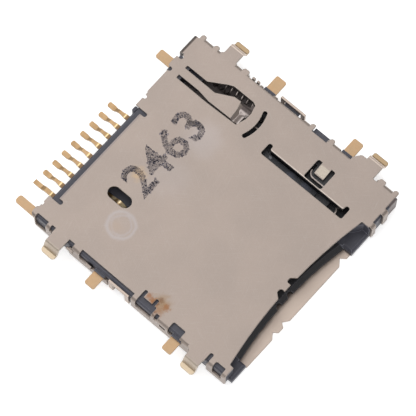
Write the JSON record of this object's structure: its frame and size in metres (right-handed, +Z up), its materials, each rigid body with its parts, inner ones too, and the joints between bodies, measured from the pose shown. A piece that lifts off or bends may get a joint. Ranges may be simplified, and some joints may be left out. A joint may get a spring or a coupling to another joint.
{
  "type": "memory card socket",
  "caption": "Push-push socket for a small memory card: folded steel cover, moulded body, gold contacts and a sprung slider with a cam pin.",
  "frame": {"origin": "on the underside of the bottom plate, near the middle of the body", "axes": "+Z up through the cover, +Y the way the card is pushed in, towards the tails, +X towards the slider's side"},
  "size_m": [0.019, 0.0184, 0.0019],
  "materials": {
    "shell_steel": "satin nickel-plated sheet with light scratches and small rust spots",
    "plate_steel": "satin nickel-plated sheet",
    "housing_plastic": "fine matte black-blue moulding",
    "slider_plastic": "fine matte black moulding",
    "contact_gold": "gold flash over copper alloy",
    "spring_steel": "bright drawn wire and strip"
  },
  "bodies": {
    "socket": {"top_shell": "shell_steel", "housing": "housing_plastic", "bottom_plate": "plate_steel", "coil_spring": "spring_steel", "detect_spring": "contact_gold", "ground_terminal": "contact_gold", "left_rear_solder_tab": "contact_gold", "left_front_solder_tab": "contact_gold", "right_rear_solder_tab": "contact_gold", "right_front_solder_tab": "contact_gold", "rear_solder_tab": "contact_gold", "contact_1": "contact_gold", "contact_2": "contact_gold", "contact_3": "contact_gold", "contact_4": "contact_gold", "contact_5": "contact_gold", "contact_6": "contact_gold", "contact_7": "contact_gold", "contact_8": "contact_gold"},
    "slider": {"slider": "slider_plastic", "card_lock_leaf": "spring_steel"},
    "cam_pin": {"cam_pin": "spring_steel"}
  },
  "joints": [
    {"name": "slider_push", "type": "slide", "parent": "socket", "child": "slider", "axis": [0, 1, 0], "range_m": [0, 0.0042], "stiffness_N_per_m": 250, "springref_m": -0.0018, "deforming": ["coil_spring"]},
    {"name": "cam_pin_swing", "type": "hinge", "parent": "socket", "child": "cam_pin", "pos_m": [0.00585, 0.0065, 0.0011], "axis": [0, 0, -1], "range_deg": [-3, 4]}
  ],
  "couplings": [
    {"joint": "cam_pin_swing", "follows": "slider_push", "rad_per_m": 15.74}
  ]
}
